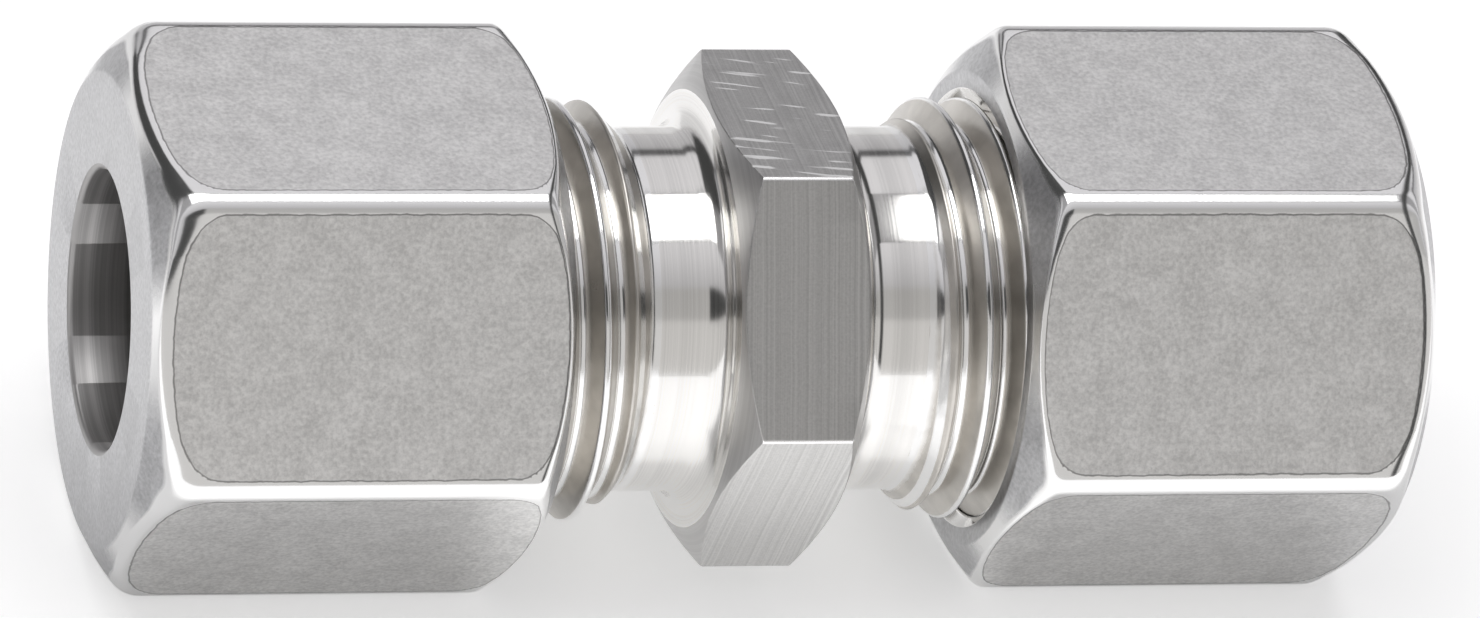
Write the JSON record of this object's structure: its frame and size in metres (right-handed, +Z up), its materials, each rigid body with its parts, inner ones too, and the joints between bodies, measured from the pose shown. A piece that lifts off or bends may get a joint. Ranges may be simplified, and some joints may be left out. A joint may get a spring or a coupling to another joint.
{
  "type": "straight tube fitting",
  "caption": "Straight compression fitting: hexagon body, threaded stubs, cutting rings and long hexagon union nuts, for joining two metal tubes end to end.",
  "frame": {"origin": "the middle of the fitting's body, on the tube axis, half way along the flow bore", "axes": "+X runs along the tube axis to the right-hand nut; +Z is up, and both nuts lie on a flat that faces -Z"},
  "size_m": [0.0495, 0.0216, 0.019],
  "materials": {
    "body_steel": "turned bright, milled flats",
    "nut_steel": "satin flats with bright edges",
    "ring_steel": "turned"
  },
  "bodies": {
    "fitting": {"fitting_body": "body_steel"},
    "ring_left": {"cutting_ring_left": "ring_steel"},
    "nut_left": {"union_nut_left": "nut_steel"},
    "ring_right": {"cutting_ring_right": "ring_steel"},
    "nut_right": {"union_nut_right": "nut_steel"}
  },
  "joints": [
    {"name": "ring_left_slide", "type": "slide", "parent": "fitting", "child": "ring_left", "axis": [1, 0, 0], "range_m": [-0.0035, 0.00202]},
    {"name": "nut_left_turn", "type": "hinge", "parent": "ring_left", "child": "nut_left", "pos_m": [-0.01705, 0, 0], "axis": [1, 0, 0], "range_deg": [-840, 485]},
    {"name": "ring_right_slide", "type": "slide", "parent": "fitting", "child": "ring_right", "axis": [-1, 0, 0], "range_m": [-0.004, 0.00152]},
    {"name": "nut_right_turn", "type": "hinge", "parent": "ring_right", "child": "nut_right", "pos_m": [0.01655, 0, 0], "axis": [-1, 0, 0], "range_deg": [-960, 365]}
  ],
  "couplings": [
    {"joint": "ring_left_slide", "follows": "nut_left_turn", "m_per_rad": 0.00023873},
    {"joint": "ring_right_slide", "follows": "nut_right_turn", "m_per_rad": 0.00023873}
  ]
}
